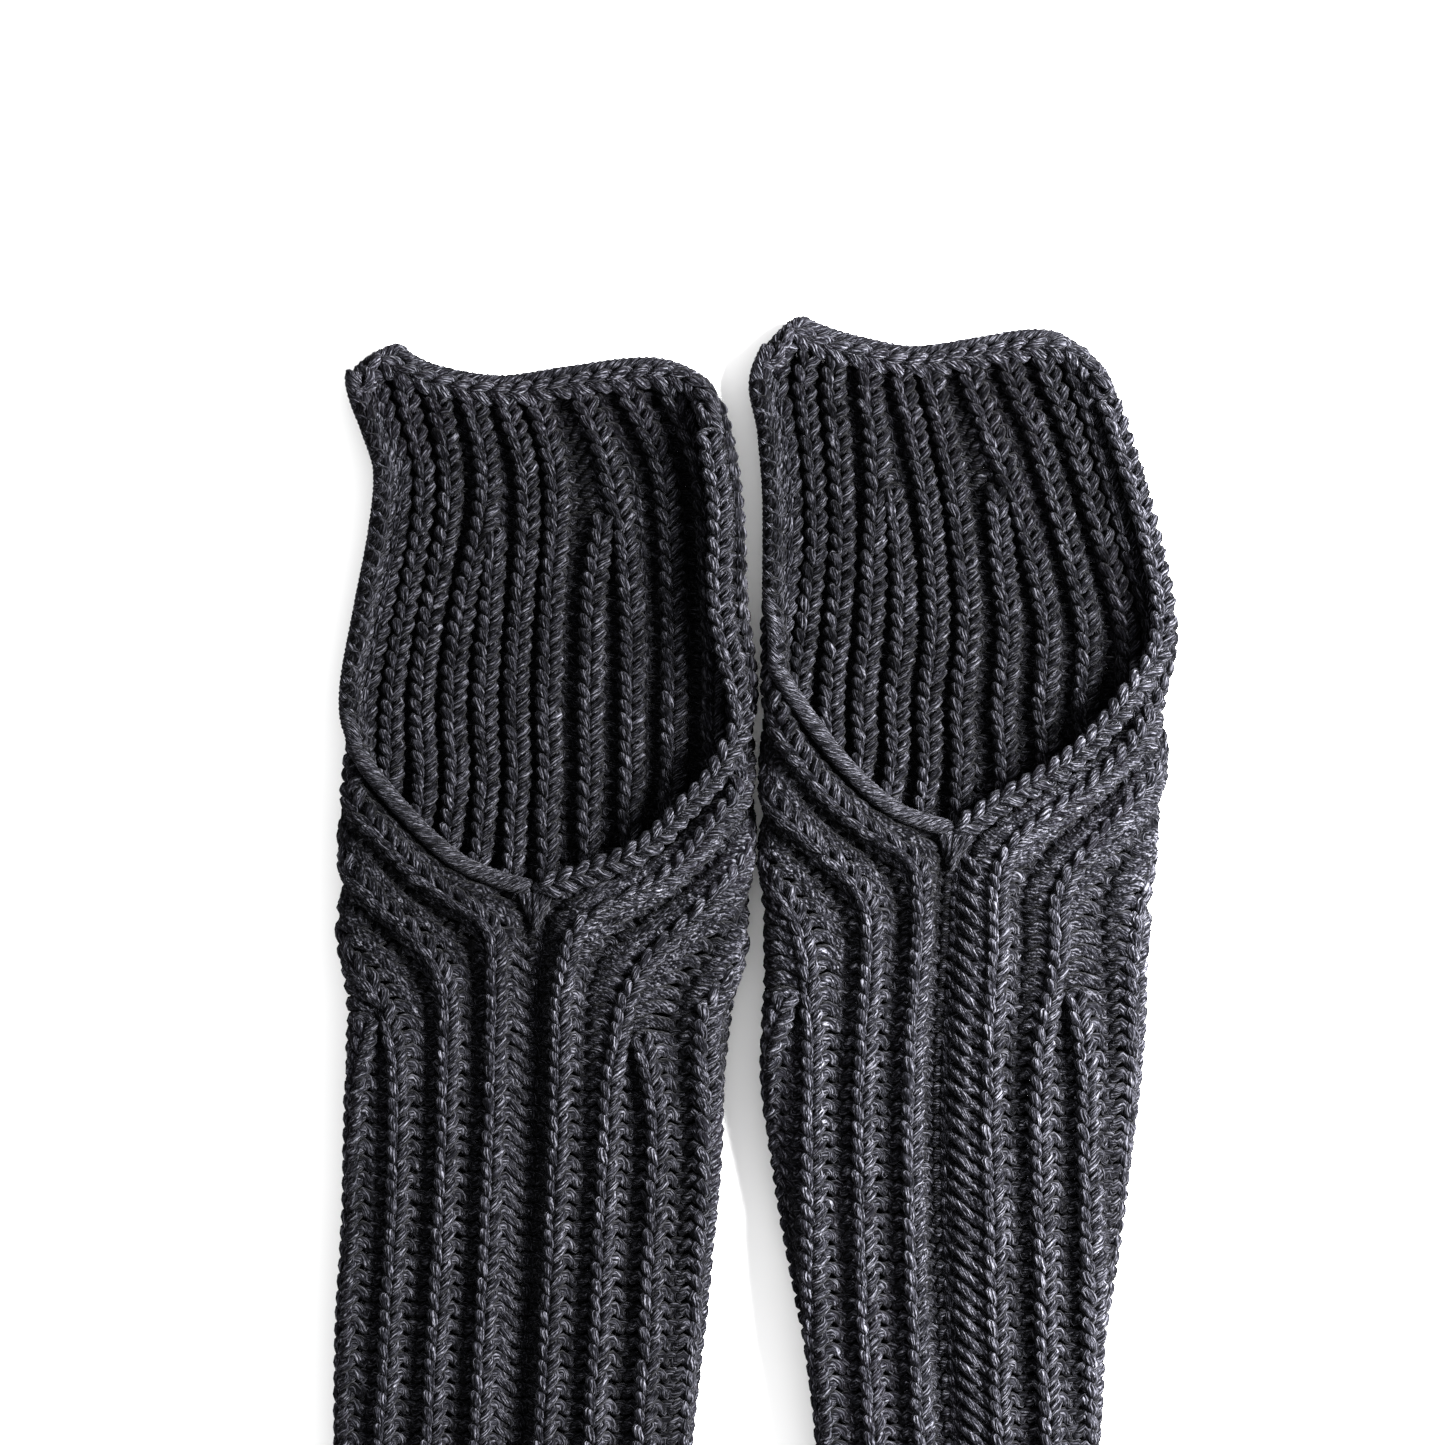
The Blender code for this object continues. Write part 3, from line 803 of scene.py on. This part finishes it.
def edge_line(layout, below, out, tail=0.0, inset=0.0):
    """A line round the finger edge, a distance below it, that may turn down the slit's edges."""
    share = np.linspace(-1, 1, EDGE_POINTS)
    y = layout.top(share) - below
    reach = np.where(share < 0, layout.length(-1, y), layout.length(1, y)) - inset
    across = share * reach
    if tail:
        down = np.arange(STEP, tail, STEP)
        left, right = y[0] - down[::-1], y[-1] - down
        across = np.concatenate([inset - layout.length(-1, left), across,
                                 layout.length(1, right) - inset])
        y = np.concatenate([left, y, right])
        across, y = rounded(across, CORNER), rounded(y, CORNER)
    return layout.place(across, y, np.full_like(y, out))


def finger_cord(layout, rng, material):
    """The twisted cord that finishes the finger edge."""
    path, normal = edge_line(layout, FINGER_CORD, 0.0, tail=FINGER_TAIL, inset=FINGER_INSET)
    strands = Strands()
    rope(strands, path, normal, FINGER_PLIES, FINGER_PLY, FINGER_PITCH, 1, rng)
    obj = strands.make(f"{layout.glove['name']}_finger_cord", material)
    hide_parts(f"{layout.glove['name']}_top_cord")
    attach(obj, layout.glove["flap"])
    return obj


def finger_chain(layout, rng, material):
    """The bound-off chain: a row of loops lying along the finger edge, on the inner face."""
    path, normal = edge_line(layout, CHAIN_LINE, CHAIN_OUT)
    strands = Strands()
    chain(strands, path, -normal, CHAIN_LINK, CHAIN_WIDTH, CHAIN_DEPTH, rng)
    obj = strands.make(f"{layout.glove['name']}_bound_off_chain", material)
    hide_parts(f"{layout.glove['name']}_bind_off_chain")
    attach(obj, layout.glove["flap"])
    return obj


def hem_cord(layout, rng, material):
    """The cast-on edge at the arm end."""
    y = layout.hem_y + HEM_PLACE
    across = np.linspace(-layout.length(-1, y), layout.length(1, y), HEM_POINTS)
    path, normal = layout.place(across, np.full_like(across, y), np.zeros_like(across))
    strands = Strands()
    rope(strands, path, normal, HEM_PLIES, HEM_PLY, HEM_PITCH, -1, rng)
    obj = strands.make(f"{layout.glove['name']}_cast_on_cord", material)
    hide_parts(f"{layout.glove['name']}_cast_on_hem")
    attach(obj, layout.glove["sleeve"])
    return obj


def upwards(t):
    return np.repeat(np.array([[0.0, 0.0, 1.0]]), len(t), 0)


def seam_strands(layout, rng, material):
    """The slanted stitches beside the front groove, and the fan at the foot of the slit."""
    strands = Strands()
    strips = layout.glove["edge_strip"]
    side = -1 if strips[0] > strips[1] else 1
    width = max(strips) - SEAM_INSET
    t = np.linspace(0, 1, STRAND_POINTS)
    first, last = layout.hem_y + SEAM_FROM, layout.notch_y + SEAM_TO
    for y0 in np.arange(first, last, ROW_SLEEVE):
        y = y0 + side * SEAM_SLANT * width * t + SEAM_BOW * np.sin(math.pi * t)
        across = side * (layout.length(side, y) - width + (width - SEAM_END) * t)
        hump = np.sin(math.pi * np.minimum(1, t * SEAM_HUMP))
        out = rng.uniform(*SEAM_LIFT) * hump - SEAM_DIVE * t**3
        path, normal = layout.place(across, y, out)
        # painted shade on the slanted strands beside the groove
        tones = np.full(len(t), rng.normal(SEAM_PAINTED_SHADE[side], 1))
        strands.add(path, normal, SEAM_R, tones, start=rng.uniform(*START_RANGE))
    for x in np.linspace(-1, 1, FAN_COUNT):
        y = layout.notch_y - FAN_TOP - (FAN_LENGTH - FAN_SHORTER * abs(x)) * t
        spread = layout.front(y) + x * (FAN_SPREAD - FAN_NARROWING * t)
        height = FRONT_Z + FAN_HEIGHT - FAN_DROP * t * t - FAN_CROWN * abs(x)
        path = np.stack([spread, y, height], -1)
        # painted shade on the fan's strands
        tones = np.full(len(t), rng.normal(FAN_PAINTED_SHADE, 1))
        strands.add(path, upwards(t), FAN_R, tones, start=rng.uniform(*START_RANGE))
    obj = strands.make(f"{layout.glove['name']}_seam_strands", material)
    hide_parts(f"{layout.glove['name']}_front_seam_yarn")
    across_joint(obj)
    return obj


def yarn_stub(layout, rng, material):
    """The fastened-off end of the yarn, poking out of the finger edge."""
    low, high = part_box(layout.glove["name"] + "_yarn_end")
    middle = (low + high) / 2 / MM
    t = np.linspace(0, 1, STRAND_POINTS)
    x = middle.x - STUB_REACH * np.cos(math.pi * t)
    y = middle.y - STUB_BACK + STUB_ARC * np.sin(math.pi * t)
    path = np.stack([x, y, middle.z + STUB_RISE * (t - 0.5)], -1)
    strands = Strands()
    strands.add(path, upwards(t), STUB_R, rng.normal(0, 1) * np.ones_like(t))
    obj = strands.make(f"{layout.glove['name']}_yarn_stub", material)
    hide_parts(f"{layout.glove['name']}_yarn_end")
    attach(obj, layout.glove["flap"])
    return obj


def add_node(tree, kind, **sockets):
    node = tree.nodes.new(kind)
    for name, value in sockets.items():
        node.inputs[name.replace("_", " ")].default_value = value
    return node


def heather_colour(stop, brightness):
    _, grey, blueness = stop
    return grey * brightness, grey * brightness, grey * brightness * blueness, 1


def wool(name, brightness):
    """Charcoal heather wool: dark plies with paler fibres twisted into them."""
    made = bpy.data.materials.new(name)
    made.use_nodes = True
    tree = made.node_tree
    shader = tree.nodes["Principled BSDF"]
    link = tree.links.new
    yarn = tree.nodes.new("ShaderNodeAttribute")
    yarn.attribute_name = "yarn"
    tone = tree.nodes.new("ShaderNodeAttribute")
    tone.attribute_name = "tone"

    fibre_space = tree.nodes.new("ShaderNodeMapping")
    fibre_space.inputs["Scale"].default_value = FIBRE_STRETCH
    link(yarn.outputs["Vector"], fibre_space.inputs["Vector"])
    fibre = add_node(tree, "ShaderNodeTexNoise", Scale=FIBRE_SCALE, Detail=FIBRE_DETAIL,
                     Roughness=FIBRE_ROUGHNESS)
    link(fibre_space.outputs["Vector"], fibre.inputs["Vector"])
    ramp = tree.nodes.new("ShaderNodeValToRGB")
    stops = ramp.color_ramp.elements
    stops[0].position, stops[0].color = HEATHER[0][0], heather_colour(HEATHER[0], brightness)
    stops[1].position, stops[1].color = HEATHER[-1][0], heather_colour(HEATHER[-1], brightness)
    for stop in HEATHER[1:-1]:
        stops.new(stop[0]).color = heather_colour(stop, brightness)
    link(fibre.outputs["Fac"], ramp.inputs["Fac"])

    # The tone scales the colour: random tone per strand, with painted shade and a little painted
    # light
    shade = add_node(tree, "ShaderNodeMapRange")
    shade.inputs["From Min"].default_value, shade.inputs["From Max"].default_value = TONE_RANGE
    shade.inputs["To Min"].default_value, shade.inputs["To Max"].default_value = TONE_SHADE
    link(tone.outputs["Fac"], shade.inputs["Value"])
    shaded = tree.nodes.new("ShaderNodeVectorMath")
    shaded.operation = "SCALE"
    link(ramp.outputs["Color"], shaded.inputs[0])
    link(shade.outputs["Result"], shaded.inputs["Scale"])
    link(shaded.outputs["Vector"], shader.inputs["Base Color"])

    bump = add_node(tree, "ShaderNodeBump", Strength=1.0, Distance=FIBRE_RELIEF)
    link(fibre.outputs["Fac"], bump.inputs["Height"])
    link(bump.outputs["Normal"], shader.inputs["Normal"])
    shader.inputs["Roughness"].default_value = 0.95
    shader.inputs["Specular IOR Level"].default_value = 0.0
    shader.inputs["Sheen Weight"].default_value = 0.01
    shader.inputs["Sheen Roughness"].default_value = 0.5
    return made


def floor():
    far = FLOOR_SIZE
    mesh = bpy.data.meshes.new("floor")
    mesh.from_pydata([(-far, -far, 0), (far, -far, 0), (far, far, 0), (-far, far, 0)], [],
                     [(0, 1, 2, 3)])
    obj = bpy.data.objects.new("floor", mesh)
    bpy.context.scene.collection.objects.link(obj)
    made = bpy.data.materials.new("floor")
    made.use_nodes = True
    shader = made.node_tree.nodes["Principled BSDF"]
    shader.inputs["Base Color"].default_value = FLOOR_COLOUR
    shader.inputs["Roughness"].default_value = 0.9
    obj.data.materials.append(made)


def studio():
    """White all round, with one soft key light from the right."""
    scene = bpy.context.scene
    scene.view_settings.view_transform = "Standard"
    world = bpy.data.worlds.new("studio")
    scene.world = world
    world.use_nodes = True
    sky = world.node_tree.nodes["Background"]
    sky.inputs["Color"].default_value = (1, 1, 1, 1)
    sky.inputs["Strength"].default_value = SKY_STRENGTH
    light = bpy.data.lights.new("key", "AREA")
    light.shape = "DISK"
    light.size = KEY_SIZE
    light.energy = KEY_POWER
    key = bpy.data.objects.new("key", light)
    key.location = KEY_PLACE
    direction = Vector(KEY_TARGET) - Vector(KEY_PLACE)
    key.rotation_euler = direction.to_track_quat("-Z", "Y").to_euler()
    scene.collection.objects.link(key)


def camera():
    """Straight down from above."""
    data = bpy.data.cameras.new("camera")
    data.lens = CAMERA_LENS
    data.sensor_width = CAMERA_SENSOR
    obj = bpy.data.objects.new("camera", data)
    obj.location = CAMERA_PLACE
    bpy.context.scene.collection.objects.link(obj)
    bpy.context.scene.camera = obj


def across_joint(obj):
    """Bake the place of a piece lying across the flap's fold into its mesh."""
    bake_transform(obj)


def build_glove(glove, material, rng):
    layout = Layout(glove)
    name = glove["name"]
    knitted = knit(layout, material, rng)
    for band, obj in knitted.items():
        if band == "fold":
            across_joint(obj)
        else:
            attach(obj, glove["sleeve"] if band.startswith("sleeve") else glove["flap"])
    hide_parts(name + "_sleeve")
    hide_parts(name + "_hand_panel")
    edges = [rolled_edge(layout, rng, material), stitched_edge(layout, rng, material),
             finger_cord(layout, rng, material), finger_chain(layout, rng, material),
             hem_cord(layout, rng, material), seam_strands(layout, rng, material),
             yarn_stub(layout, rng, material)]


def main():
    rng = np.random.default_rng(SEED)
    build_glove(LEFT, wool("left_wool", LEFT_BRIGHTNESS), rng)
    # painted light: the right glove's copy of the wool is painted paler
    build_glove(RIGHT, wool("right_wool_painted_light", RIGHT_PAINTED_LIGHT), rng)
    floor()
    studio()
    camera()


main()
